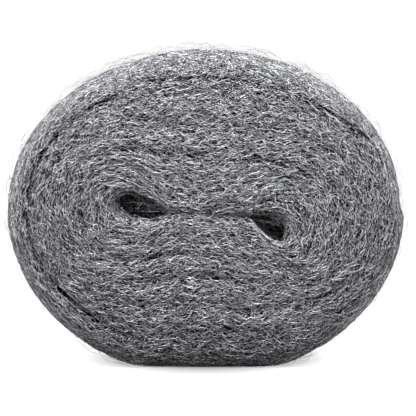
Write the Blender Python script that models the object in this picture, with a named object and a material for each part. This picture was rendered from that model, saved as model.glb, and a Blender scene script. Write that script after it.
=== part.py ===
"""Steel wool roll: one long strip of steel wool, wound flat round two prongs, lying on its rim.

Metres, +Z up, +Y along the roll's axis, so the end that shows the winding faces -Y. The origin is under the
middle of the roll, on the surface that it lies on. The roll is one piece: its turns cling together, and the
valleys between their edges run over both ends as one spiral, from the torn tail on the rim to the core.

The ends are drawn in winding coordinates. A share of 0 to 1 runs once round the roll for each turn, from the
tail and down the right side. A reach of 0 to 1 runs from the wall of the core to the rim. A spread of -1 to 1
runs along the axis, from the front end to the back.
"""

import math

import bmesh
import bpy

# The finished roll: its rim is two half ellipses, which meet where it is widest
ROLL_WIDTH = 0.127
ROLL_HEIGHT = 0.100
STRIP_WIDTH = 0.090
WIDEST_HEIGHT = 0.049

# How the weight of the roll has pressed its underside flat
UNDERSIDE_SAG = 0.0045
SAG_EASE = 0.0012

# The rim bulges towards the middle of the strip's width
RIM_BULGE = 0.0020
RIM_BULGE_POWER = 4

# The winding: its whole turns, and the torn tail, which lies on the rim as a step that soon fades above it
TURNS = 6
TAIL_ANGLE = math.radians(2)
TAIL_TAPER = 12
TAIL_STEP = 0.0014
TAIL_EDGE_SHARE = 0.0135
TAIL_FADE_POWER = 12

# The edges of the turns, on both ends of the roll
CROWN = 0.0040
CROWN_POWER = 3
VALLEY_DEPTH_AT_CORE = 0.0006
VALLEY_DEPTH_AT_RIM = 0.0026
VALLEY_TURNS = 0.34
SHOULDER_RADIUS = 0.0060
SHOULDER_TURNS = 1.0
EYE_FUNNEL_DEPTH = 0.0045
SLIT_FUNNEL_DEPTH = 0.0012
FUNNEL_TURNS = 0.45

# The core: two eyes that the prongs left, joined by a slit that has closed up
CORE_LEFT = -0.0275
CORE_RIGHT = 0.0246
LEFT_EYE_LENGTH = 0.0165
LEFT_EYE_HEIGHT = 0.0076
RIGHT_EYE_LENGTH = 0.0135
RIGHT_EYE_HEIGHT = 0.0070
SLIT_GAP = 0.0008
SLIT_DROP = 0.0008
SLIT_SLOPE = -0.050
END_BEND = 0.0120
LEFT_RISE = 0.0022
RIGHT_DROOP = 0.0040
EYE_WAIST = 0.40

# How the turns dip towards the slit between the eyes
PINCH = 0.55
PINCH_POWER = 4

# How finely the surface is divided
COLUMNS_A_TURN = 72
ROWS_A_TURN = 4
RIM_CUTS = 7
CORE_CUTS = 3
WELD_DISTANCE = 0.000002

NODE_NAME = "steel_wool_roll"
WOOL_COLOUR = (0.19, 0.19, 0.20, 1.0)
WOOL_METALLIC = 0.85
WOOL_ROUGHNESS = 0.55

# A teardrop is widest a third of the way along, where root(t) * (1 - t) reaches this
TEARDROP_PEAK = math.sqrt(1 / 3) * 2 / 3


def smoothstep(value):
    """Ease from 0 to 1 as the value goes from 0 to 1."""
    held = min(max(value, 0.0), 1.0)
    return held * held * (3 - 2 * held)


def hill(distance, width):
    """A smooth hill of height 1 at no distance, which has sunk to a third at the width."""
    return math.exp(-((distance / width) ** 2))


def above_floor(height):
    """The height once the floor has pressed flat what would lie under it, easing into the flat spot."""
    if height >= SAG_EASE:
        return height
    if height <= -SAG_EASE:
        return 0.0
    return (height + SAG_EASE) ** 2 / (4 * SAG_EASE)


def winding_angle(share):
    """The angle from +X at a share of one turn: the strip goes down the right side from its tail."""
    return TAIL_ANGLE - 2 * math.pi * share


def tail_set_in(share):
    """How far the rim lies inside its outline: fully just above the tail, and not at all once past its edge."""
    before = share**TAIL_FADE_POWER
    after = 1 - smoothstep(share / TAIL_EDGE_SHARE)
    return TAIL_STEP * max(before, after)


def rim_point(share, spread, turns_inside):
    """Where the rim pulls a point to: two half ellipses with the flat spot, set in by the tail and the bulge."""
    angle = winding_angle(share)
    under_tail = smoothstep(1 - turns_inside)
    set_in = RIM_BULGE * abs(spread) ** RIM_BULGE_POWER + tail_set_in(share) * under_tail
    fullness = 1 - set_in / (ROLL_WIDTH / 2)
    rise = math.sin(angle)
    half_height = ROLL_HEIGHT - WIDEST_HEIGHT if rise > 0 else WIDEST_HEIGHT + UNDERSIDE_SAG
    across = ROLL_WIDTH / 2 * fullness * math.cos(angle)
    return across, above_floor(WIDEST_HEIGHT + half_height * fullness * rise)


def core_middle(across):
    """The height of the slit's middle line, which rises at its left end and droops at its right."""
    rise = LEFT_RISE * smoothstep((-across - END_BEND) / (-CORE_LEFT - END_BEND))
    droop = RIGHT_DROOP * smoothstep((across - END_BEND) / (CORE_RIGHT - END_BEND))
    return WIDEST_HEIGHT - SLIT_DROP + SLIT_SLOPE * across + rise - droop


def teardrop(along, length, height):
    """Half the height of an eye, round at its outer end and drawn out towards the slit."""
    share = min(max(along / length, 0.0), 1.0)
    return height / 2 * math.sqrt(share) * (1 - share) / TEARDROP_PEAK


def core_point(share, spread):
    """The wall of the core: the slit, and the two eyes, which are tighter halfway along the axis."""
    angle = winding_angle(share)
    across = (CORE_LEFT + CORE_RIGHT) / 2 + (CORE_RIGHT - CORE_LEFT) / 2 * math.cos(angle)
    eyes = teardrop(across - CORE_LEFT, LEFT_EYE_LENGTH, LEFT_EYE_HEIGHT)
    eyes += teardrop(CORE_RIGHT - across, RIGHT_EYE_LENGTH, RIGHT_EYE_HEIGHT)
    openness = EYE_WAIST + (1 - EYE_WAIST) * spread * spread
    half_gap = SLIT_GAP / 2 * abs(math.sin(angle)) + eyes * openness
    side = 1 if math.sin(angle) > 0 else -1
    return across, core_middle(across) + side * half_gap


def tail_thickness(share):
    """How thick the outermost turn has grown, in turns, at a share of one turn from its torn tail."""
    return 1 - (1 - share) ** TAIL_TAPER


def turns_deep(share):
    """The turns between core and rim: the tail tapers the outermost, and the strip's start the innermost."""
    return (1 - share) + (TURNS - 1) + tail_thickness(share)


def valley_reach(layer, share):
    """The reach of the valley outside a layer, counted from 0 at the core to TURNS at the rim."""
    if layer < 0:
        return 0.0
    if layer >= TURNS:
        return 1.0
    return (1 - share + layer) / turns_deep(share)


def valley_strength(layer, share):
    """How deep a valley is cut: it fades where the outermost or the innermost turn thins out."""
    if layer == TURNS - 1:
        return tail_thickness(share)
    if layer == 0:
        return 1 - share
    return 1.0


def shoulder(turns_inside):
    """How far the rounded shoulder sets the end back, at a number of turns inside the rim."""
    share = 1 - min(turns_inside / SHOULDER_TURNS, 1.0)
    return SHOULDER_RADIUS * (1 - math.sqrt(1 - share * share))


def funnel(turns_outside, share):
    """How far the wool is drawn in at a number of turns outside the core: most at the eyes, least at the slit."""
    beside_eye = abs(math.cos(winding_angle(share)))
    depth = SLIT_FUNNEL_DEPTH + (EYE_FUNNEL_DEPTH - SLIT_FUNNEL_DEPTH) * beside_eye
    return depth * hill(turns_outside, FUNNEL_TURNS)


def half_width(reach, share):
    """How far the end of the roll stands from the middle of the strip's width."""
    depth = turns_deep(share)
    groove = max(
        valley_strength(layer, share)
        * hill((reach - valley_reach(layer, share)) * depth, VALLEY_TURNS)
        for layer in range(TURNS)
    )
    valley = VALLEY_DEPTH_AT_CORE + (VALLEY_DEPTH_AT_RIM - VALLEY_DEPTH_AT_CORE) * reach * reach
    set_back = CROWN * reach**CROWN_POWER + valley * groove
    set_back += shoulder((1 - reach) * depth)
    set_back += funnel(reach * depth, share)
    return STRIP_WIDTH / 2 - set_back


def surface_point(reach, share, spread):
    """A point of the surface, from its winding coordinates."""
    core_x, core_z = core_point(share, spread)
    rim_x, rim_z = rim_point(share, spread, (1 - reach) * turns_deep(share))
    outwards = reach ** (1 + PINCH * abs(math.sin(winding_angle(share))) ** PINCH_POWER)
    across = core_x + (rim_x - core_x) * outwards
    height = core_z + (rim_z - core_z) * outwards
    return across, spread * half_width(reach, share), height


def wind_strip_edge(bm, reach_layer, share_layer):
    """The strip's front edge: one long grid, wound up from its tail, with the neighbouring turns welded."""
    columns = (TURNS + 1) * COLUMNS_A_TURN
    bmesh.ops.create_grid(bm, x_segments=columns, y_segments=ROWS_A_TURN, size=1.0)
    for vert in bm.verts:
        column = round((vert.co.x + 1) / 2 * columns)
        across_strip = (vert.co.y + 1) / 2
        wraps = min(column // COLUMNS_A_TURN, TURNS)
        share = column / COLUMNS_A_TURN - wraps
        layer = TURNS - wraps
        inner = valley_reach(layer - 1, share)
        outer = valley_reach(layer, share)
        vert[reach_layer] = inner + (outer - inner) * across_strip
        vert[share_layer] = share
        vert.co = surface_point(vert[reach_layer], share, -1)
    bmesh.ops.remove_doubles(bm, verts=bm.verts, dist=WELD_DISTANCE)


def carry_across_width(bm, spread_layer):
    """The strip's full width: the front end is carried to the back, which also walls the rim and the core."""
    for vert in bm.verts:
        vert[spread_layer] = -1.0
    carried = bmesh.ops.extrude_face_region(bm, geom=bm.faces[:], use_keep_orig=True)
    back = [item for item in carried["geom"] if isinstance(item, bmesh.types.BMVert)]
    for vert in back:
        vert[spread_layer] = 1.0
    bmesh.ops.translate(bm, verts=back, vec=(0, STRIP_WIDTH, 0))


def divide_walls(bm, reach_layer, spread_layer):
    """Rows across the rim and through the core, so that they can bulge and narrow."""
    for wall_reach, cuts in ((1.0, RIM_CUTS), (0.0, CORE_CUTS)):
        crossing = [
            edge
            for edge in bm.edges
            if edge.verts[0][spread_layer] != edge.verts[1][spread_layer]
            and abs(edge.verts[0][reach_layer] - wall_reach) < 0.5
        ]
        bmesh.ops.subdivide_edges(bm, edges=crossing, cuts=cuts, use_grid_fill=True)


def build_roll():
    """The whole roll as one closed body."""
    bm = bmesh.new()
    reach_layer = bm.verts.layers.float.new("reach")
    share_layer = bm.verts.layers.float.new("share")
    spread_layer = bm.verts.layers.float.new("spread")
    wind_strip_edge(bm, reach_layer, share_layer)
    carry_across_width(bm, spread_layer)
    divide_walls(bm, reach_layer, spread_layer)
    for vert in bm.verts:
        vert.co = surface_point(vert[reach_layer], vert[share_layer], vert[spread_layer])
    bmesh.ops.recalc_face_normals(bm, faces=bm.faces)
    mesh = bpy.data.meshes.new(NODE_NAME)
    bm.to_mesh(mesh)
    bm.free()
    mesh.shade_smooth()
    return mesh


def wool_material():
    """Steel wool: bright shavings that darken one another."""
    material = bpy.data.materials.new("steel_wool")
    material.use_nodes = True
    shader = material.node_tree.nodes["Principled BSDF"]
    shader.inputs["Base Color"].default_value = WOOL_COLOUR
    shader.inputs["Metallic"].default_value = WOOL_METALLIC
    shader.inputs["Roughness"].default_value = WOOL_ROUGHNESS
    return material


def main():
    """Clears the scene and places the roll in it."""
    for old in list(bpy.data.objects):
        bpy.data.objects.remove(old)
    roll = bpy.data.objects.new(NODE_NAME, build_roll())
    roll.data.materials.append(wool_material())
    bpy.context.scene.collection.objects.link(roll)


main()
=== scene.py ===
"""Steel wool roll, seen along its axis: the looks of one strip of steel wool, wound into a flattened roll.

Metres, in the part's own frame: +Z up, +Y along the roll's axis, the end in view facing -Y. A dark wound
body, its darkness painted shade, stands for the depths of the wool, and thousands of drawn shavings lie over
it, most of them along the winding.

Places on the roll are given in winding coordinates. A share of 0 to 1 runs once round the roll from the torn
tail and down the right side. What lies across the strip is a number too: -1 to 0 is the front half of the
core's wall, 0 to 1 the front end from core to rim, 1 to 2 the rim from front to back, 2 to 3 the back end,
3 to 4 the core.
"""

from __future__ import annotations

import logging
import math
from dataclasses import dataclass
from enum import Enum
from typing import Any

import bmesh
import bpy
import numpy as np
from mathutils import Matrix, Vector


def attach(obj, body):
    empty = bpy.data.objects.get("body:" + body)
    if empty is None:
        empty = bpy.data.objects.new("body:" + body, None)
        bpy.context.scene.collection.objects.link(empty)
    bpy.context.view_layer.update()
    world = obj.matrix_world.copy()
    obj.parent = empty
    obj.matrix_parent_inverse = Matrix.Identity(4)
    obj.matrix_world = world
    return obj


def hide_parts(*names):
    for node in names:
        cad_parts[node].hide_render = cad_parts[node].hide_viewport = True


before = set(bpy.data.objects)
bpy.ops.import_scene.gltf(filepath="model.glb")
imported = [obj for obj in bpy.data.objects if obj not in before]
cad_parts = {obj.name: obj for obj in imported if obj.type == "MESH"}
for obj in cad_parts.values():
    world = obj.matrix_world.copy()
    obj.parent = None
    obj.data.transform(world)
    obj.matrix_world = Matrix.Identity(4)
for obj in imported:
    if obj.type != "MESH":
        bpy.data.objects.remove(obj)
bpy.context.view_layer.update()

log = logging.getLogger("steel_wool_roll")

NODE = "steel_wool_roll"
BODY = "root"
MM = 0.001
TURN = 2 * math.pi
# Painted light and shade: a per-vertex factor multiplied into the colour of the body and the shavings. It is
# darker near the ground, in the valleys, in the creases and on the core's wall, and brighter on the rim.
PAINTED_LIGHT = "painted_light"
LOW_PAINTED_SHADE = 0.14
LOW_HEIGHT = 20 * MM


class Zone(Enum):
    """The stretches across the strip that a layer of shavings may lie on, as lowest and highest number."""

    FRONT = (-0.015, 1.12)
    RIM = (0.9, 2.1)
    BACK = (1.88, 3.2)
    HALO = (0.6, 2.4)


def linear(colour: str, alpha: float = 1.0) -> tuple[float, float, float, float]:
    """Turn an sRGB hex colour into linear light.

    Args:
        colour: Six hex digits, such as "c8c9cc".
        alpha: How opaque the colour is.

    Returns:
        Red, green, blue and alpha, each from 0 to 1.
    """
    parts = [int(colour[start:start + 2], 16) / 255 for start in (0, 2, 4)]
    light = [part / 12.92 if part <= 0.04045 else ((part + 0.055) / 1.055) ** 2.4 for part in parts]
    return light[0], light[1], light[2], alpha


def ease(value: np.ndarray) -> np.ndarray:
    """Ease from 0 to 1 as the value goes from 0 to 1."""
    held = np.clip(value, 0.0, 1.0)
    return held * held * (3 - 2 * held)


def painted_light_at(height: np.ndarray) -> np.ndarray:
    """Painted shade at each height in metres, multiplied into the colour of the body and the shavings: less
    of the colour is kept near the ground.
    """
    return 1 - LOW_PAINTED_SHADE * ease(1 - height / LOW_HEIGHT)


def add_node(
    tree: bpy.types.NodeTree,
    kind: str,
    settings: dict[str, Any] | None = None,
    inputs: dict[str | int, Any] | None = None,
) -> bpy.types.Node:
    """Add a shader node with its settings, socket values and links.

    Args:
        tree: The node tree that the node goes into.
        kind: The node's type, such as "ShaderNodeTexNoise".
        settings: Attributes of the node to set.
        inputs: For each input, a value, or the output socket to link to it.

    Returns:
        The new node.
    """
    node = tree.nodes.new(kind)
    for name, value in (settings or {}).items():
        setattr(node, name, value)
    for name, value in (inputs or {}).items():
        if isinstance(value, bpy.types.NodeSocket):
            tree.links.new(value, node.inputs[name])
        else:
            node.inputs[name].default_value = value
    return node


def new_shader(
    name: str, values: dict[str, Any]
) -> tuple[bpy.types.Material, bpy.types.NodeTree, bpy.types.Node]:
    """Start a material.

    Args:
        name: The material's name.
        values: The uniform values of the shader's sockets.

    Returns:
        The new material, its node tree and its Principled shader.
    """
    material = bpy.data.materials.new(name)
    material.use_nodes = True
    tree = material.node_tree
    shader = tree.nodes["Principled BSDF"]
    for socket, value in values.items():
        shader.inputs[socket].default_value = value
    return material, tree, shader


def add_object(name: str, data: bpy.types.ID) -> bpy.types.Object:
    """Add an object to the scene.

    Args:
        name: The object's name.
        data: Its mesh, curve, lamp or camera.

    Returns:
        The new object.
    """
    added = bpy.data.objects.new(name, data)
    bpy.context.scene.collection.objects.link(added)
    return added


def set_ramp(node: bpy.types.Node, stops: list[tuple[float, str]]) -> None:
    """Give a colour ramp its stops.

    Args:
        node: A Color Ramp node.
        stops: Each stop's place from 0 to 1, and its colour as sRGB hex.
    """
    elements = node.color_ramp.elements
    while len(elements) < len(stops):
        elements.new(1.0)
    for element, (place, colour) in zip(elements, stops):
        element.position = place
        element.color = linear(colour)


@dataclass(frozen=True)
class Crease:
    """A stretch of the spiral valley where two turns have parted, which shows as a dark line on both ends,
    from its depth and from painted shade in the body's colour.

    Layers count turns outwards from the core, angles are in degrees from +X, and a depth is a share of the
    winding's crease_depth. The creases of the front end are placed from the photograph.
    """

    layer: float
    start: float
    end: float
    depth: float
    drift: float = 0.0
    fade: float = 9.0
    breaks: float = 23.0

    def strength(self, degrees: np.ndarray) -> np.ndarray:
        """How much of its depth the crease has at each angle in degrees, fading over its ends."""
        half = (self.end - self.start) / 2
        broken = 0.75 + 0.25 * np.sin(np.radians(degrees * self.breaks + self.start))
        return broken * ease((half + self.fade - np.abs(self.past_middle(degrees))) / self.fade)

    def layer_at(self, degrees: np.ndarray) -> np.ndarray:
        """The layer whose outside the crease follows, which drifts outwards on the way from start to end."""
        part = np.clip(self.past_middle(degrees) / (self.end - self.start), -0.5, 0.5)
        return self.layer + self.drift * (part + 0.5)

    def past_middle(self, degrees: np.ndarray) -> np.ndarray:
        """How far past the crease's middle an angle is, in degrees from -180 to 180."""
        return (degrees - (self.start + self.end) / 2 + 180) % 360 - 180


CREASES = (
    Crease(layer=5.22, start=125, end=180, depth=1.4, drift=-0.2),
    Crease(layer=5.04, start=180, end=222, depth=2.1, drift=-0.2),
    Crease(layer=4.84, start=222, end=240, depth=1.4, drift=0.3),
    Crease(layer=5.75, start=24, end=46, depth=1.4, drift=-0.4),
    Crease(layer=5.35, start=48, end=106, depth=0.7, drift=0.1),
    Crease(layer=5, start=318, end=352, depth=0.5),
    Crease(layer=4, start=300, end=330, depth=0.5),
    Crease(layer=3, start=96, end=128, depth=0.7),
    Crease(layer=3, start=238, end=284, depth=0.7),
    Crease(layer=2.1, start=-24, end=14, depth=0.6, drift=0.6),
    Crease(layer=2.5, start=24, end=64, depth=0.7, drift=0.4),
    Crease(layer=2, start=226, end=256, depth=0.8),
    Crease(layer=2, start=150, end=200, depth=0.5),
    Crease(layer=1.6, start=82, end=100, depth=0.7),
    Crease(layer=0.85, start=44, end=74, depth=1.0, drift=-0.2),
    Crease(layer=0.65, start=76, end=92, depth=1.1, drift=-0.7),
    Crease(layer=-0.4, start=-74, end=-59, depth=0.5, drift=0.65),
    Crease(layer=0.3, start=-59, end=-40, depth=0.6, drift=-0.1),
)


@dataclass(frozen=True)
class Winding:
    """The form of the roll, in metres and turns.

    The outline, the rim, the tail, the crown and the shoulder are those of the part's source. The rest is
    set for the look: the core closes up halfway, so that no background shows through it, the slit is narrower
    and a little higher, the right eye is shorter, the valleys are shallower, and the creases are placed one
    by one.
    """

    roll_width: float = 0.127
    roll_height: float = 0.100
    strip_width: float = 0.090
    widest_height: float = 0.049
    underside_sag: float = 0.0045
    sag_ease: float = 0.0012
    rim_bulge: float = 0.0020
    rim_bulge_power: float = 4
    turns: int = 6
    tail_angle: float = math.radians(2)
    tail_taper: float = 12
    tail_step: float = 0.0014
    tail_edge_share: float = 0.0135
    tail_fade_power: float = 12
    crown: float = 0.0040
    crown_power: float = 3
    valley_depth_at_core: float = 0.0003
    valley_depth_at_rim: float = 0.0010
    valley_turns: float = 0.34
    crease_depth: float = 0.0016
    crease_turns: float = 0.08
    shoulder_radius: float = 0.0060
    shoulder_turns: float = 1.0
    eye_funnel_depth: float = 0.0045
    slit_funnel_depth: float = 0.0012
    funnel_turns: float = 0.45
    core_left: float = -0.0275
    core_right: float = 0.0246
    left_eye_length: float = 0.0165
    left_eye_height: float = 0.0076
    right_eye_length: float = 0.0115
    right_eye_height: float = 0.0070
    slit_gap: float = 0.0002
    slit_drop: float = 0.0003
    slit_slope: float = -0.050
    end_bend: float = 0.0120
    left_rise: float = 0.0022
    right_droop: float = 0.0048
    eye_waist: float = 0.0
    pinch: float = 0.55
    pinch_power: float = 4
    probe: float = 0.002

    def angle(self, share: np.ndarray) -> np.ndarray:
        """The angle from +X, in radians, at a share of one turn."""
        return self.tail_angle - TURN * share

    def rim_point(
        self, share: np.ndarray, spread: np.ndarray, under_tail: np.ndarray
    ) -> tuple[np.ndarray, np.ndarray]:
        """Work out the rim: two half ellipses with the flat spot under them.

        Args:
            share: The share of one turn from the tail, from 0 to 1.
            spread: -1 at the front end of the roll, 1 at its back end.
            under_tail: How much of the tail's step shows, from 0 on the inner turns to 1 on the rim.

        Returns:
            X and Z.
        """
        tail = self.tail_step * under_tail
        tail = tail * np.maximum(share**self.tail_fade_power, 1 - ease(share / self.tail_edge_share))
        set_in = self.rim_bulge * np.abs(spread) ** self.rim_bulge_power + tail
        fullness = 1 - set_in / (self.roll_width / 2)
        rise = np.sin(self.angle(share))
        half_height = np.where(
            rise > 0, self.roll_height - self.widest_height, self.widest_height + self.underside_sag
        )
        height = self.widest_height + half_height * fullness * rise
        eased = (np.maximum(height + self.sag_ease, 0)) ** 2 / (4 * self.sag_ease)
        across = self.roll_width / 2 * fullness * np.cos(self.angle(share))
        return across, np.where(height >= self.sag_ease, height, eased)

    def core_point(self, share: np.ndarray, spread: np.ndarray) -> tuple[np.ndarray, np.ndarray]:
        """Work out the wall of the core: the slit, and the two eyes, which close up halfway along the axis.

        Args:
            share: The share of one turn from the tail, from 0 to 1.
            spread: -1 at the front end of the roll, 1 at its back end.

        Returns:
            X and Z.
        """
        angle = self.angle(share)
        across = (self.core_left + self.core_right) / 2
        across = across + (self.core_right - self.core_left) / 2 * np.cos(angle)
        eyes = self.teardrop(across - self.core_left, self.left_eye_length, self.left_eye_height)
        eyes += self.teardrop(self.core_right - across, self.right_eye_length, self.right_eye_height)
        openness = self.eye_waist + (1 - self.eye_waist) * spread * spread
        half_gap = self.slit_gap / 2 * np.abs(np.sin(angle)) + eyes * openness
        rise = self.left_rise * ease((-across - self.end_bend) / (-self.core_left - self.end_bend))
        droop = self.right_droop * ease((across - self.end_bend) / (self.core_right - self.end_bend))
        middle = self.widest_height - self.slit_drop + self.slit_slope * across + rise - droop
        return across, middle + np.sign(np.sin(angle)) * half_gap

    @staticmethod
    def teardrop(along: np.ndarray, length: float, height: float) -> np.ndarray:
        """Half the height of an eye, round at its outer end and drawn out towards the slit."""
        peak = math.sqrt(1 / 3) * 2 / 3
        share = np.clip(along / length, 0.0, 1.0)
        return height / 2 * np.sqrt(share) * (1 - share) / peak

    def tail_thickness(self, share: np.ndarray) -> np.ndarray:
        """How thick the outermost turn has grown, in turns, at a share of one turn from the tail."""
        return 1 - (1 - share) ** self.tail_taper

    def turns_deep(self, share: np.ndarray) -> np.ndarray:
        """The number of turns between core and rim."""
        return (1 - share) + (self.turns - 1) + self.tail_thickness(share)

    def valley_reach(self, layer: int, share: np.ndarray) -> np.ndarray:
        """Where between core and rim, from 0 to 1, the valley outside a layer lies."""
        if layer < 0:
            return np.zeros_like(share)
        if layer >= self.turns:
            return np.ones_like(share)
        return (1 - share + layer) / self.turns_deep(share)

    def valleys(self, reach: np.ndarray, share: np.ndarray) -> tuple[np.ndarray, np.ndarray]:
        """Work out the spiral valley and the creases in it.

        Args:
            reach: 0 at the core to 1 at the rim.
            share: The share of one turn from the tail, from 0 to 1.

        Returns:
            The valley's and the creases' strength, each about 0 to 1.
        """
        valley = np.zeros_like(reach)
        creases = np.zeros_like(reach)
        depth = self.turns_deep(share)
        degrees = np.degrees(self.angle(share)) % 360
        for layer in range(self.turns):
            strength = np.ones_like(share)
            if layer == 0:
                strength = 1 - share
            if layer == self.turns - 1:
                strength = self.tail_thickness(share)
            away = (reach - self.valley_reach(layer, share)) * depth
            valley = np.maximum(valley, strength * np.exp(-((away / self.valley_turns) ** 2)))
        for crease in CREASES:
            away = reach * depth - (1 - share + crease.layer_at(degrees))
            narrow = np.exp(-((away / self.crease_turns) ** 2))
            creases = np.maximum(creases, crease.depth * crease.strength(degrees) * narrow)
        return valley, creases

    def half_width(self, reach: np.ndarray, share: np.ndarray) -> np.ndarray:
        """Work out how far the end of the roll stands from the middle of the strip's width.

        Args:
            reach: 0 at the core to 1 at the rim.
            share: The share of one turn from the tail, from 0 to 1.

        Returns:
            The distance along the axis, in metres.
        """
        depth = self.turns_deep(share)
        valley, creases = self.valleys(reach, share)
        valley_depth = self.valley_depth_at_core
        valley_depth = valley_depth + (self.valley_depth_at_rim - self.valley_depth_at_core) * reach * reach
        towards_rim = 1 - np.minimum((1 - reach) * depth / self.shoulder_turns, 1.0)
        set_back = self.crown * reach**self.crown_power + valley_depth * valley + self.crease_depth * creases
        set_back += self.shoulder_radius * (1 - np.sqrt(1 - towards_rim * towards_rim))
        funnel = self.slit_funnel_depth
        funnel = funnel + (self.eye_funnel_depth - self.slit_funnel_depth) * np.abs(np.cos(self.angle(share)))
        set_back += funnel * np.exp(-((reach * depth / self.funnel_turns) ** 2))
        return self.strip_width / 2 - set_back

    def place(self, across: np.ndarray, share: np.ndarray) -> np.ndarray:
        """Turn winding coordinates into places on the roll.

        Args:
            across: The number across the strip, from -1 to 4.
            share: The share of one turn from the tail. Whole turns make no difference.

        Returns:
            One row of X, Y and Z for each place.
        """
        share = np.mod(share, 1.0)
        corners = (-1, 0, 1, 2, 3, 4)
        reach = np.interp(across, corners, (0, 0, 1, 1, 0, 0))
        spread = np.interp(across, corners, (0, -1, -1, 1, 1, 0))
        core_x, core_z = self.core_point(share, spread)
        rim_x, rim_z = self.rim_point(share, spread, ease(1 - (1 - reach) * self.turns_deep(share)))
        outwards = reach ** (1 + self.pinch * np.abs(np.sin(self.angle(share))) ** self.pinch_power)
        return np.stack(
            (
                core_x + (rim_x - core_x) * outwards,
                spread * self.half_width(reach, share),
                core_z + (rim_z - core_z) * outwards,
            ),
            axis=-1,
        )

    def frames(self, across: np.ndarray, share: np.ndarray) -> tuple[np.ndarray, np.ndarray, np.ndarray]:
        """Measure the surface round each place.

        Args:
            across: The number across the strip, from -1 to 4.
            share: The share of one turn from the tail.

        Returns:
            How the place moves for each whole turn, how it moves for each 1 across, and the outward normal.
        """
        step = self.probe
        along = (self.place(across, share + step) - self.place(across, share - step)) / (2 * step)
        over = (self.place(across + step, share) - self.place(across - step, share)) / (2 * step)
        normal = np.cross(along, over)
        normal /= np.linalg.norm(normal, axis=-1, keepdims=True) + 1e-12
        return along, over, normal


@dataclass(frozen=True)
class StrandSet:
    """Strands in the depths of the wool that lie one way: how far they are turned, and their brightest."""

    turned: float
    brightest: float


@dataclass(frozen=True)
class DepthsFinish:
    """The depths of the wool: mild steel shavings crossing one another, with painted shade between them and
    painted glints on the brightest of them.

    They are drawn four times as far apart as the real 0.15 mm, so that they show.
    """

    name: str = "steel_wool_depths"
    # Near-black painted shade between the strands, the steel's own grey, and a painted glint on the brightest
    # strands.
    painted_gap_shade: str = "030303"
    strand: str = "626366"
    painted_glint: str = "c2c3c7"
    roughness: float = 0.55
    metallic: float = 0.45
    mirrored: float = 0.1
    sets: tuple[StrandSet, ...] = (
        StrandSet(turned=math.radians(4), brightest=0.6),
        StrandSet(turned=math.radians(-22), brightest=0.8),
        StrandSet(turned=math.radians(16), brightest=1.0),
    )
    spacing: float = 0.60 * MM
    stretch: float = 8.0
    core_of_strand: float = 0.05
    edge_of_strand: float = 0.38
    faintest: float = 0.4
    painted_gap_shade_stop: float = 0.2
    strand_stop: float = 0.42
    painted_glint_stop: float = 0.7
    wander: float = 1.1 * MM
    wander_size: float = 2.6 * MM
    bump_height: float = 0.25 * MM

    def strands(
        self, tree: bpy.types.NodeTree, place: bpy.types.NodeSocket, strands: StrandSet
    ) -> tuple[bpy.types.NodeSocket, bpy.types.NodeSocket]:
        """Draw one set of strands as stretched cells, each with its own brightness.

        Args:
            tree: The material's node tree.
            place: The place on the flat strip.
            strands: The set to draw.

        Returns:
            The height of the strands from 0 to 1, and their brightness.
        """
        laid = add_node(
            tree,
            "ShaderNodeMapping",
            {"vector_type": "TEXTURE"},
            {"Vector": place, "Rotation": (0.0, 0.0, strands.turned), "Scale": (self.stretch, 1.0, 1.0)},
        )
        cells = add_node(
            tree,
            "ShaderNodeTexVoronoi",
            {"voronoi_dimensions": "2D"},
            {"Vector": laid.outputs["Vector"], "Scale": 1 / self.spacing},
        )
        height = add_node(
            tree,
            "ShaderNodeMapRange",
            None,
            {
                "Value": cells.outputs["Distance"],
                "From Min": self.core_of_strand,
                "From Max": self.edge_of_strand,
                "To Min": 1.0,
                "To Max": 0.0,
            },
        )
        own = add_node(tree, "ShaderNodeSeparateColor", None, {"Color": cells.outputs["Color"]})
        limits = {"Value": own.outputs["Red"], "To Min": self.faintest, "To Max": strands.brightest}
        lit = add_node(tree, "ShaderNodeMapRange", None, limits)
        factors = {0: height.outputs["Result"], 1: lit.outputs["Result"]}
        shown = add_node(tree, "ShaderNodeMath", {"operation": "MULTIPLY"}, factors)
        return height.outputs["Result"], shown.outputs["Value"]

    def build(self) -> bpy.types.Material:
        """Make the material.

        Returns:
            The new material.
        """
        steel = {"Metallic": self.metallic, "Specular IOR Level": self.mirrored, "Roughness": self.roughness}
        material, tree, shader = new_shader(self.name, steel)
        strip = add_node(tree, "ShaderNodeUVMap", {"uv_map": WoolBody.uv_name})
        drift = add_node(
            tree,
            "ShaderNodeTexNoise",
            {"noise_dimensions": "2D"},
            {"Vector": strip.outputs["UV"], "Scale": 1 / self.wander_size, "Detail": 2.0},
        )
        place = add_node(
            tree,
            "ShaderNodeVectorMath",
            {"operation": "MULTIPLY_ADD"},
            {0: drift.outputs["Color"], 1: (self.wander,) * 3, 2: strip.outputs["UV"]},
        )
        height, shown = self.strands(tree, place.outputs["Vector"], self.sets[0])
        for strands in self.sets[1:]:
            upper_height, upper_shown = self.strands(tree, place.outputs["Vector"], strands)
            height, shown = (
                add_node(tree, "ShaderNodeMath", {"operation": "MAXIMUM"}, {0: low, 1: high}).outputs["Value"]
                for low, high in ((height, upper_height), (shown, upper_shown))
            )
        # Painted light and shade from the mesh's per-vertex factor, multiplied into the strands before the
        # colour ramp.
        painted_light = add_node(tree, "ShaderNodeAttribute", {"attribute_name": PAINTED_LIGHT})
        light = add_node(
            tree, "ShaderNodeMath", {"operation": "MULTIPLY"}, {0: shown, 1: painted_light.outputs["Fac"]}
        )
        ramp = add_node(tree, "ShaderNodeValToRGB", None, {"Fac": light.outputs["Value"]})
        stops = [(self.painted_gap_shade_stop, self.painted_gap_shade), (self.strand_stop, self.strand), (self.painted_glint_stop, self.painted_glint)]
        set_ramp(ramp, stops)
        bump = add_node(
            tree, "ShaderNodeBump", None, {"Height": shown, "Distance": self.bump_height, "Strength": 1.0}
        )
        tree.links.new(ramp.outputs["Color"], shader.inputs["Base Color"])
        tree.links.new(bump.outputs["Normal"], shader.inputs["Normal"])
        return material


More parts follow.
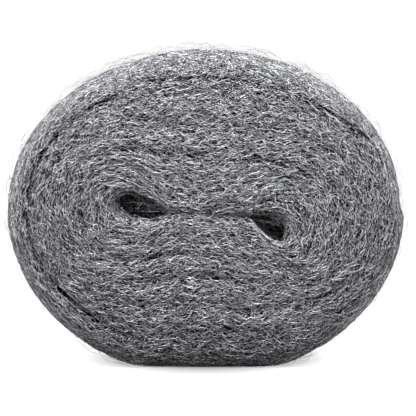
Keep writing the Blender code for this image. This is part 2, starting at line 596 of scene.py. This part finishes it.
@dataclass(frozen=True)
class ShavingFinish:
    """A shaving of mild steel, shaved from wire: bright where a facet faces the light and dark in between,
    partly from its flat facets under the lamps and partly from painted highlights and painted shade along it.
    """

    name: str = "mild_steel_shaving"
    # The ramp runs from near-black painted shade, through the steel's own colour, to painted highlights.
    painted_shade: str = "050506"
    plain: str = "9c9da1"
    bright: str = "e8e9ed"
    metallic: float = 0.45
    mirrored: float = 0.1
    roughness: float = 0.52
    facet_size: float = 0.42 * MM
    darkest_facet: float = 0.3
    brightest_facet: float = 0.7
    painted_facet_share: float = 0.73
    own_share: float = 0.32
    painted_shade_stop: float = 0.34
    plain_stop: float = 0.50
    bright_stop: float = 0.74
    apart: float = 1000.0

    def build(self) -> bpy.types.Material:
        """Make the material, in which each shaving has its own brightness at random, and painted highlights
        and painted shade along it stand in for its facets.

        Returns:
            The new material.
        """
        steel = {"Metallic": self.metallic, "Specular IOR Level": self.mirrored, "Roughness": self.roughness}
        material, tree, shader = new_shader(self.name, steel)
        place = add_node(tree, "ShaderNodeTexCoord")
        each = add_node(tree, "ShaderNodeNewGeometry")
        factors = {0: each.outputs["Random Per Island"], 1: self.apart}
        own = add_node(tree, "ShaderNodeMath", {"operation": "MULTIPLY"}, factors)
        # Painted highlights and painted shade along each shaving, standing in for facets turned to or from
        # the light.
        facets = add_node(
            tree,
            "ShaderNodeTexNoise",
            {"noise_dimensions": "4D"},
            {
                "Vector": place.outputs["Object"],
                "W": own.outputs["Value"],
                "Scale": 1 / self.facet_size,
                "Detail": 1.0,
            },
        )
        facet = add_node(
            tree,
            "ShaderNodeMapRange",
            None,
            {
                "Value": facets.outputs["Fac"],
                "From Min": self.darkest_facet,
                "From Max": self.brightest_facet,
                "To Min": 0.0,
                "To Max": self.painted_facet_share,
            },
        )
        shown = add_node(
            tree,
            "ShaderNodeMath",
            {"operation": "MULTIPLY_ADD"},
            {0: each.outputs["Random Per Island"], 1: self.own_share, 2: facet.outputs["Result"]},
        )
        # Painted shade from the mesh's per-vertex factor, multiplied in before the colour ramp.
        painted_light = add_node(tree, "ShaderNodeAttribute", {"attribute_name": PAINTED_LIGHT})
        factors = {0: shown.outputs["Value"], 1: painted_light.outputs["Fac"]}
        light = add_node(tree, "ShaderNodeMath", {"operation": "MULTIPLY"}, factors)
        ramp = add_node(tree, "ShaderNodeValToRGB", None, {"Fac": light.outputs["Value"]})
        stops = [(self.painted_shade_stop, self.painted_shade), (self.plain_stop, self.plain), (self.bright_stop, self.bright)]
        set_ramp(ramp, stops)
        tree.links.new(ramp.outputs["Color"], shader.inputs["Base Color"])
        return material


@dataclass
class WoolBody:
    """The wound body under the shavings: the strip's edge, wound up from its tail, and the strip's width."""

    uv_name = "strip"

    winding: Winding
    name: str = "wool_body"
    sink: float = 0.6 * MM
    sink_at_core: float = 0.15 * MM
    # Painted shade in the valleys, in the creases and on the core's wall, and painted light on the rim. All
    # of it is multiplied into the body's colour.
    valley_painted_shade: float = 0.12
    crease_painted_shade: float = 0.8
    core_painted_shade: float = 1.0
    core_painted_shade_depth: float = 0.1
    rim_painted_light: float = 1.15
    rim_blend: float = 0.1
    core_reach: float = 0.12
    columns_a_turn: int = 140
    rows_a_turn: int = 13
    rim_rows: int = 30
    core_rows: int = 14
    weld_distance: float = 0.000002

    def build(self, finish: bpy.types.Material) -> bpy.types.Object:
        """Model the body, dress it and put it in the CAD node's place.

        Args:
            finish: The material of the depths of the wool.

        Returns:
            The new object.
        """
        mesh = bpy.data.meshes.new(self.name)
        bm = bmesh.new()
        bm.loops.layers.uv.new(self.uv_name)
        bm.verts.layers.float.new(PAINTED_LIGHT)
        self.wind_ends(bm)
        self.wrap_walls(bm)
        bmesh.ops.remove_doubles(bm, verts=bm.verts, dist=self.weld_distance)
        bmesh.ops.recalc_face_normals(bm, faces=bm.faces)
        bm.to_mesh(mesh)
        bm.free()
        mesh.shade_smooth()
        mesh.materials.append(finish)
        body = add_object(self.name, mesh)
        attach(body, BODY)
        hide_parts(NODE)
        return body

    def lay_grid(
        self, bm: bmesh.types.BMesh, across: np.ndarray, share: np.ndarray, strip: np.ndarray
    ) -> None:
        """Lay a grid of faces on the roll.

        Args:
            bm: The mesh that the grid goes into.
            across: The number across the strip, for each column and row of the grid.
            share: The share of one turn, for each column and row.
            strip: The place on the flat strip, in metres, for each column and row.
        """
        columns, rows = across.shape
        made = bmesh.ops.create_grid(bm, x_segments=columns - 1, y_segments=rows - 1, size=1.0)
        verts = made["verts"]
        column = np.array([round((vert.co.x + 1) / 2 * (columns - 1)) for vert in verts])
        row = np.array([round((vert.co.y + 1) / 2 * (rows - 1)) for vert in verts])
        here_across = across[column, row]
        here_share = share[column, row]
        _, _, normal = self.winding.frames(here_across, here_share)
        reach = np.interp(here_across, (0, 1, 2, 3), (0, 1, 1, 0))
        sunk = self.sink_at_core + (self.sink - self.sink_at_core) * ease(reach / self.core_reach)
        sunk *= np.interp(here_across, (-1, 0, 3, 4), (0, 1, 1, 0))
        places = self.winding.place(here_across, here_share) - normal * sunk[:, None]
        valley, creases = self.winding.valleys(reach, here_share)
        # Painted light and shade, stored per vertex and multiplied into the body's colour. It is darker in
        # valleys, in creases, on the core's wall and near the ground, and brighter on the rim.
        lit = np.clip(1 - self.valley_painted_shade * valley - self.crease_painted_shade * creases, 0, 1)
        into_core = np.interp(here_across, (-1, 0, 3, 4), (1, 0, 0, 1))
        lit *= 1 - self.core_painted_shade * ease(into_core / self.core_painted_shade_depth)
        blend = self.rim_blend
        on_rim = np.interp(here_across, (1 - blend, 1 + blend, 2 - blend, 2 + blend), (0, 1, 1, 0))
        lit *= 1 + (self.rim_painted_light - 1) * on_rim
        lit *= painted_light_at(places[:, 2])
        shade_layer = bm.verts.layers.float[PAINTED_LIGHT]
        uv_layer = bm.loops.layers.uv[self.uv_name]
        on_strip = {vert: strip[c, r] for vert, c, r in zip(verts, column, row)}
        for vert, place, light in zip(verts, places, lit):
            vert.co = place
            vert[shade_layer] = light
        for face in {face for vert in verts for face in vert.link_faces}:
            for loop in face.loops:
                loop[uv_layer].uv = on_strip[loop.vert]

    def wind_ends(self, bm: bmesh.types.BMesh) -> None:
        """Lay both edges of the strip, each one long grid from the tail to the core."""
        winding = self.winding
        column = np.arange((winding.turns + 1) * self.columns_a_turn + 1)
        wraps = np.minimum(column // self.columns_a_turn, winding.turns)
        share = column / self.columns_a_turn - wraps
        edges = np.array([winding.valley_reach(layer, share) for layer in range(-1, winding.turns + 1)])
        layer = winding.turns - wraps
        inner = edges[layer, column]
        outer = edges[layer + 1, column]
        part = np.linspace(0, 1, self.rows_a_turn + 1)
        reach = inner[:, None] + (outer - inner)[:, None] * part
        shares = np.repeat(share[:, None], len(part), axis=1)
        middle = winding.place((inner + outer) / 2, share)
        steps = np.linalg.norm(np.diff(middle, axis=0), axis=1)
        length = np.repeat(np.concatenate(([0.0], np.cumsum(steps)))[:, None], len(part), axis=1)
        thickness = np.linalg.norm(winding.place(outer, share) - winding.place(inner, share), axis=1)
        strip = np.stack((length, thickness[:, None] * part), axis=-1)
        self.lay_grid(bm, reach, shares, strip)
        self.lay_grid(bm, 3 - reach, shares, strip + (0.0, winding.strip_width))

    def wrap_walls(self, bm: bmesh.types.BMesh) -> None:
        """Lay the rim and the two halves of the core's wall, each a grid once round the roll."""
        winding = self.winding
        share = np.arange(self.columns_a_turn + 1) / self.columns_a_turn
        walls = ((1.0, 2.0, self.rim_rows), (-1.0, 0.0, self.core_rows), (3.0, 4.0, self.core_rows))
        for start, end, rows in walls:
            part = np.linspace(start, end, rows + 1)
            across = np.repeat(part[None, :], len(share), axis=0)
            shares = np.repeat(share[:, None], len(part), axis=1)
            places = winding.place(across, shares)
            steps = np.linalg.norm(np.diff(places[:, 0], axis=0), axis=1)
            length = np.concatenate(([0.0], np.cumsum(steps)))
            strip = np.stack((np.repeat(length[:, None], len(part), axis=1), places[..., 1]), -1)
            self.lay_grid(bm, across, shares, strip)


@dataclass
class Threads:
    """Threads of steel drawn over the roll.

    The real ones are about 0.08 mm wide. All but the flyaway ones are drawn about twice as wide, so that
    they show.
    """

    winding: Winding
    name: str
    count: int
    seed: int
    width: float = 0.14 * MM
    segments: int = 3
    twist: float = math.radians(110)
    tip_width: float = 0.35
    taper_power: float = 0.5

    def paths(self) -> np.ndarray:
        """The places along each thread: thread, point, and X, Y and Z."""
        raise NotImplementedError

    def build(self, finish: bpy.types.Material) -> bpy.types.Object:
        """Draw the threads as tapered ones of triangular section, and turn them into one mesh.

        Args:
            finish: The material of the threads.

        Returns:
            The new object.
        """
        section = self.triangle()
        curve = bpy.data.curves.new(self.name, "CURVE")
        curve.dimensions = "3D"
        curve.bevel_mode = "OBJECT"
        curve.bevel_object = section
        curve.use_fill_caps = True
        fullness = np.sin(np.linspace(0.0, math.pi, self.segments + 1)) ** self.taper_power
        taper = self.tip_width + (1 - self.tip_width) * fullness
        twist = np.linspace(0.0, self.twist, self.segments + 1)
        traced = self.paths()
        traced[..., 2] = np.maximum(traced[..., 2], self.width / 4)
        for path in traced:
            spline = curve.splines.new("POLY")
            spline.points.add(self.segments)
            spline.points.foreach_set("co", np.column_stack((path, np.ones(len(path)))).ravel())
            spline.points.foreach_set("radius", taper)
            spline.points.foreach_set("tilt", twist)
        drawn = add_object(self.name + "_drawn", curve)
        ready = drawn.evaluated_get(bpy.context.evaluated_depsgraph_get())
        mesh = bpy.data.meshes.new_from_object(ready)
        mesh.name = self.name
        corners = np.empty(3 * len(mesh.vertices))
        mesh.vertices.foreach_get("co", corners)
        # Painted shade near the ground, stored per vertex and multiplied into the shavings' colour.
        shade = mesh.attributes.new(PAINTED_LIGHT, "FLOAT", "POINT")
        shade.data.foreach_set("value", painted_light_at(corners[2::3]))
        for spare in (drawn, section):
            bpy.data.objects.remove(spare)
        mesh.materials.clear()
        mesh.materials.append(finish)
        mesh.shade_flat()
        piece = add_object(self.name, mesh)
        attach(piece, BODY)
        return piece

    def triangle(self) -> bpy.types.Object:
        """The section of a thread, as a closed curve of three points."""
        outline = bpy.data.curves.new(self.name + "_section", "CURVE")
        outline.dimensions = "2D"
        spline = outline.splines.new("POLY")
        spline.points.add(2)
        spline.use_cyclic_u = True
        for corner, point in enumerate(spline.points):
            turned = TURN * corner / 3
            point.co = (self.width / 2 * math.cos(turned), self.width / 2 * math.sin(turned), 0.0, 1.0)
        return add_object(self.name + "_section", outline)


@dataclass
class LaidShavings(Threads):
    """Shavings that lie on the roll, most of them roughly along the winding, each weaving up and down."""

    zone: Zone = Zone.FRONT
    lowest: float = -0.7 * MM
    highest: float = 0.4 * MM
    segment_length: float = 1.6 * MM
    lie: float = math.radians(25)
    bend: float = math.radians(38)
    kink: float = math.radians(22)
    heave: float = 0.2 * MM
    least_bend: float = 0.3
    bend_lengths: tuple[float, float] = (5, 11)
    kink_lengths: tuple[float, float] = (2.6, 4.5)
    level_power: float = 0.8
    crease_gap: float = 0.9
    least_cover: float = 0.05
    seam_blend: float = 0.16
    grid: tuple[int, int] = (161, 361)
    even_steps: tuple[float, float] = (0.7548776662, 0.5698402910)

    def seeds(self, rng: np.random.Generator) -> tuple[np.ndarray, np.ndarray]:
        """Choose where the shavings begin, evenly over the zone's area but thinner over the creases.

        Args:
            rng: The layer's own source of chance.

        Returns:
            The numbers across the strip, and the shares of one turn.
        """
        across = np.linspace(*self.zone.value, self.grid[0])
        share = np.linspace(0, 1, self.grid[1])
        every_across, every_share = np.meshgrid(across, share, indexing="ij")
        along, over, _ = self.winding.frames(every_across, every_share)
        reach = np.interp(every_across, (0, 1, 2, 3), (0, 1, 1, 0))
        _, creases = self.winding.valleys(reach, every_share)
        weight = np.linalg.norm(np.cross(along, over), axis=-1)
        weight *= np.clip(1 - self.crease_gap * creases, self.least_cover, 1)
        for edge, inwards in zip(self.zone.value, (1, -1)):
            if 0.5 < edge < 2.5:
                weight *= ease((every_across - edge) * inwards / self.seam_blend)
        ring = np.cumsum(weight.sum(axis=1))
        round_ring = np.cumsum(weight, axis=1)
        first, second = (
            np.mod(rng.uniform() + step * np.arange(self.count), 1.0) for step in self.even_steps
        )
        chosen_across = np.interp(first, ring / ring[-1], across)
        row = np.searchsorted(across, chosen_across).clip(0, len(across) - 1)
        chosen_share = [
            np.interp(part, round_ring[here] / round_ring[here, -1], share) for part, here in zip(second, row)
        ]
        return chosen_across, np.array(chosen_share)

    def heights(self, part: float, level: np.ndarray, wave: np.ndarray) -> np.ndarray:
        """How high each shaving is at a part of its length from 0 to 1, given its level and its weaving."""
        return level + self.heave * wave

    def paths(self) -> np.ndarray:
        """Trace the shavings over the roll.

        Returns:
            The places along each shaving: shaving, point, and X, Y and Z.
        """
        rng = np.random.default_rng(self.seed)
        across, share = self.seeds(rng)
        heading = rng.normal(0, self.lie, self.count) + math.pi * rng.integers(0, 2, self.count)
        along, over, _ = self.winding.frames(across, share)
        half = self.segments * self.segment_length / 2
        share = share - np.cos(heading) * half / np.linalg.norm(along, axis=1)
        across = np.clip(across - np.sin(heading) * half / np.linalg.norm(over, axis=1), -1, 4)
        bend = rng.uniform(self.least_bend, 1.0, self.count) * self.bend
        bend_length = rng.uniform(*self.bend_lengths, self.count) * MM
        kink_length = rng.uniform(*self.kink_lengths, self.count) * MM
        phases = rng.uniform(0, TURN, (3, self.count))
        level = self.lowest + (self.highest - self.lowest) * rng.power(self.level_power, self.count)
        points = []
        for step in range(self.segments + 1):
            run = step * self.segment_length
            along, over, normal = self.winding.frames(across, share)
            height = self.heights(step / self.segments, level, np.sin(TURN * run / bend_length + phases[2]))
            points.append(self.winding.place(across, share) + normal * height[:, None])
            turned = heading + bend * np.sin(TURN * run / bend_length + phases[0])
            turned += self.kink * np.sin(TURN * run / kink_length + phases[1])
            share = share + np.cos(turned) * self.segment_length / np.linalg.norm(along, axis=1)
            across = across + np.sin(turned) * self.segment_length / np.linalg.norm(over, axis=1)
            across = np.clip(across, -1, 4)
        return np.stack(points, axis=1)


@dataclass
class Flyaways(LaidShavings):
    """Loose shavings that arch out of the wool, and show as a thin halo round the roll."""

    arch_power: float = 0.8
    width: float = 0.07 * MM
    segment_length: float = 1.9 * MM
    lowest: float = 0.3 * MM
    highest: float = 3.0 * MM
    bend: float = math.radians(60)

    def heights(self, part: float, level: np.ndarray, wave: np.ndarray) -> np.ndarray:
        """How high each shaving is: both its ends are in the wool, and it arches up to its level."""
        return level * math.sin(math.pi * part) ** self.arch_power + self.heave * wave * part


@dataclass
class CoreStrands(Threads):
    """Strands that cross the eyes and the slit from one wall of the core to the other."""

    deepest: float = -0.26
    nearest_at_slit: float = 0.06
    nearest_at_eyes: float = 0.03
    slant_at_slit: float = 0.035
    slant_at_eyes: float = 0.11
    slit_to_eyes: tuple[float, float] = (0.35, 0.6)
    depth_power: float = 1.2
    curl: float = 0.9 * MM
    curl_waves: tuple[float, float] = (0.9, 1.7)
    second_wave: float = 0.5

    def paths(self) -> np.ndarray:
        """Trace the strands, each a curly chord between two walls.

        Returns:
            The places along each strand: strand, point, and X, Y and Z.
        """
        rng = np.random.default_rng(self.seed)
        winding = self.winding
        angle = np.arccos(rng.uniform(-1, 1, self.count))
        upper = (winding.tail_angle - angle) / TURN
        lower = (winding.tail_angle + angle) / TURN
        beside_slit = np.abs(np.cos(angle))
        nearest = np.interp(beside_slit, self.slit_to_eyes, (self.nearest_at_slit, self.nearest_at_eyes))
        slant = np.interp(beside_slit, self.slit_to_eyes, (self.slant_at_slit, self.slant_at_eyes))
        depths = nearest + (self.deepest - nearest) * rng.power(self.depth_power, (2, self.count))
        start = winding.place(depths[0], upper + rng.normal(0, 1, self.count) * slant)
        end = winding.place(depths[1], lower + rng.normal(0, 1, self.count) * slant)
        sideways = rng.normal(0, 1, (2, self.count, 3))
        sideways /= np.linalg.norm(sideways, axis=-1, keepdims=True)
        phases = rng.uniform(0, TURN, self.count)
        points = []
        for part in np.linspace(0, 1, self.segments + 1):
            first, second = (np.sin(TURN * waves * part + phases)[:, None] for waves in self.curl_waves)
            swing = first * sideways[0] + second * sideways[1] * self.second_wave
            points.append(start + (end - start) * part + self.curl * math.sin(math.pi * part) * swing)
        return np.stack(points, axis=1)


@dataclass(frozen=True)
class Lamp:
    """A square lamp aimed at the middle of the roll, in metres and watts."""

    name: str
    place: tuple[float, float, float]
    size: float
    power: float


@dataclass
class Studio:
    """A plain white studio: soft light from above and in front, and a floor that keeps the roll's shadow,
    darkened further by a painted shadow round the flat spot.
    """

    winding: Winding
    lamps: tuple[Lamp, ...] = (
        Lamp("key_light", place=(-0.15, -0.45, 1.00), size=0.7, power=22.6),
        Lamp("right_light", place=(0.75, -0.50, 0.75), size=0.5, power=8.0),
        Lamp("left_light", place=(-0.75, -0.50, 0.75), size=0.5, power=6.5),
    )
    camera_distance: float = 1.25
    camera_lift: float = math.radians(2.6)
    image_width: float = 416
    roll_left: float = 9
    roll_right: float = 403
    roll_middle: tuple[float, float] = (206, 204)
    lens_sensor: float = 0.036
    fill_light: float = 0.18
    floor_size: float = 6.0
    floor_colour: str = "5a5a5a"
    floor_roughness: float = 0.9
    flat_spot: tuple[float, float] = (0.019, 0.037)
    # Painted shadow: the floor glows less towards the flat spot, down to near_glow.
    near_floor: float = 1.0
    far_floor: float = 2.1
    near_glow: float = 0.08

    def build(self) -> None:
        """Set up the floor, the lights and the camera."""
        self.lay_floor()
        self.light()
        self.aim_camera()
        bpy.context.scene.view_settings.view_transform = "Standard"

    def lay_floor(self) -> None:
        """Lay a large grey floor that glows white to the camera.

        It glows less and less from far_floor to near_floor, counted in half widths of the flat spot. That
        dark patch isn't cast by the lamps: it stands in for the soft shadow in the photograph.
        """
        material, tree, shader = new_shader(
            "studio_floor",
            {
                "Base Color": linear(self.floor_colour),
                "Roughness": self.floor_roughness,
                "Emission Color": linear("ffffff"),
            },
        )
        place = add_node(tree, "ShaderNodeTexCoord")
        spots = add_node(
            tree,
            "ShaderNodeVectorMath",
            {"operation": "DIVIDE"},
            {0: place.outputs["Object"], 1: (*self.flat_spot, 1.0)},
        )
        away = add_node(tree, "ShaderNodeVectorMath", {"operation": "LENGTH"}, {0: spots.outputs["Vector"]})
        glow = add_node(
            tree,
            "ShaderNodeMapRange",
            None,
            {
                "Value": away.outputs["Value"],
                "From Min": self.near_floor,
                "From Max": self.far_floor,
                "To Min": self.near_glow,
                "To Max": 1.0,
            },
        )
        factors = {0: glow.outputs["Result"], 1: self.seen_rays(tree)}
        seen = add_node(tree, "ShaderNodeMath", {"operation": "MULTIPLY"}, factors)
        tree.links.new(seen.outputs["Value"], shader.inputs["Emission Strength"])
        bm = bmesh.new()
        bmesh.ops.create_grid(bm, x_segments=1, y_segments=1, size=self.floor_size)
        mesh = bpy.data.meshes.new("floor")
        bm.to_mesh(mesh)
        bm.free()
        mesh.materials.append(material)
        floor = add_object("floor", mesh)

    def seen_rays(self, tree: bpy.types.NodeTree) -> bpy.types.NodeSocket:
        """Pick out the rays that show the background: those from the camera, and off metal and glass.

        Args:
            tree: The node tree of the floor or the world.

        Returns:
            A socket that is 1 for those rays, and 0 for the ones that light things.
        """
        rays = add_node(tree, "ShaderNodeLightPath")
        direct = add_node(
            tree,
            "ShaderNodeMath",
            {"operation": "ADD"},
            {0: rays.outputs["Is Camera Ray"], 1: rays.outputs["Is Glossy Ray"]},
        )
        every = add_node(
            tree,
            "ShaderNodeMath",
            {"operation": "ADD", "use_clamp": True},
            {0: direct.outputs["Value"], 1: rays.outputs["Is Transmission Ray"]},
        )
        return every.outputs["Value"]

    def light(self) -> None:
        """Set up a pale world, a broad key light above and in front, and a weaker one at each side."""
        world = bpy.data.worlds.new("studio")
        world.use_nodes = True
        tree = world.node_tree
        ground = tree.nodes["Background"]
        ground.inputs["Color"].default_value = (1.0, 1.0, 1.0, 1.0)
        limits = {"Value": self.seen_rays(tree), "To Min": self.fill_light, "To Max": 1.0}
        strength = add_node(tree, "ShaderNodeMapRange", None, limits)
        tree.links.new(strength.outputs["Result"], ground.inputs["Strength"])
        bpy.context.scene.world = world
        for lamp in self.lamps:
            data = bpy.data.lights.new(lamp.name, "AREA")
            data.size = lamp.size
            data.energy = lamp.power
            holder = add_object(lamp.name, data)
            holder.location = lamp.place
            aim = Vector((0, 0, self.winding.widest_height)) - Vector(lamp.place)
            holder.rotation_euler = aim.to_track_quat("-Z", "Y").to_euler()

    def aim_camera(self) -> None:
        """Place the camera so that the roll fills the picture as it does in the photograph."""
        pixels = self.roll_right - self.roll_left
        field = self.image_width / pixels * self.winding.roll_width
        front = self.winding.strip_width / 6
        camera = bpy.data.cameras.new("camera")
        camera.sensor_width = self.lens_sensor / MM
        camera.lens = camera.sensor_width * (self.camera_distance - front) / field
        holder = add_object("camera", camera)
        pixel = field / self.image_width
        aside = (self.image_width / 2 - self.roll_middle[0]) * pixel
        above = (self.roll_middle[1] - self.image_width / 2) * pixel
        target = Vector((aside, 0, self.winding.roll_height / 2 + above))
        back = Vector((0, -math.cos(self.camera_lift), math.sin(self.camera_lift)))
        holder.location = target + back * self.camera_distance
        holder.rotation_euler = (-back).to_track_quat("-Z", "Y").to_euler()
        bpy.context.scene.camera = holder


def main() -> None:
    """Build the roll and its studio, and report each piece."""
    logging.basicConfig(level=logging.INFO, format="%(message)s")
    winding = Winding()
    Studio(winding).build()
    shaving = ShavingFinish().build()
    # Darker copies of the same steel, as painted shade, for the deeper front layers, the rim, the halo's
    # loose shavings and the strands inside the core.
    deeper = ShavingFinish(name="deeper_shaving", plain="7c7d81", bright="d0d1d5").build()
    rim_finish = ShavingFinish(name="rim_shaving", plain="86878b", bright="c6c7cb").build()
    loose = ShavingFinish(name="loose_shaving", plain="4a4b4e", bright="8c8d91").build()
    shaded = ShavingFinish(name="shaded_shaving", plain="808185", bright="dcdde1").build()
    pieces = [WoolBody(winding).build(DepthsFinish().build())]
    finishes = {
        "front_shavings_deep": deeper,
        "front_shavings_middle": deeper,
        "rim_shavings_deep": rim_finish,
        "rim_shavings_top": rim_finish,
        "core_strands": shaded,
        "flyaway_shavings": loose,
    }
    top = {"segments": 4, "lie": math.radians(28)}
    rim = {"zone": Zone.RIM, "width": 0.17 * MM, "segment_length": 2.4 * MM}
    back = {"zone": Zone.BACK, "width": 0.16 * MM, "segment_length": 2.0 * MM}
    layers = (
        LaidShavings(winding, "front_shavings_deep", 6600, 11, lowest=-0.6 * MM, highest=-0.2 * MM),
        LaidShavings(winding, "front_shavings_middle", 6600, 12, lowest=-0.4 * MM, highest=0.1 * MM),
        LaidShavings(winding, "front_shavings_top", 5000, 13, **top, lowest=-0.1 * MM, highest=0.4 * MM),
        LaidShavings(winding, "rim_shavings_deep", 8400, 14, **rim, lowest=-0.5 * MM, highest=-0.1 * MM),
        LaidShavings(winding, "rim_shavings_top", 8400, 15, **rim, lowest=-0.2 * MM, highest=0.3 * MM),
        LaidShavings(winding, "back_shavings_deep", 3400, 16, **back, lowest=-0.6 * MM, highest=-0.1 * MM),
        LaidShavings(winding, "back_shavings_top", 3400, 19, **back, lowest=-0.2 * MM, highest=0.4 * MM),
        CoreStrands(winding, "core_strands", 330, 17, segments=6, width=0.16 * MM),
        Flyaways(winding, "flyaway_shavings", 800, 18, segments=6, zone=Zone.HALO),
    )
    for layer in layers:
        pieces.append(layer.build(finishes.get(layer.name, shaving)))
    for piece in pieces:
        piece.data.calc_loop_triangles()
        log.info("%s: %d triangles", piece.name, len(piece.data.loop_triangles))


if __name__ == "__main__":
    main()
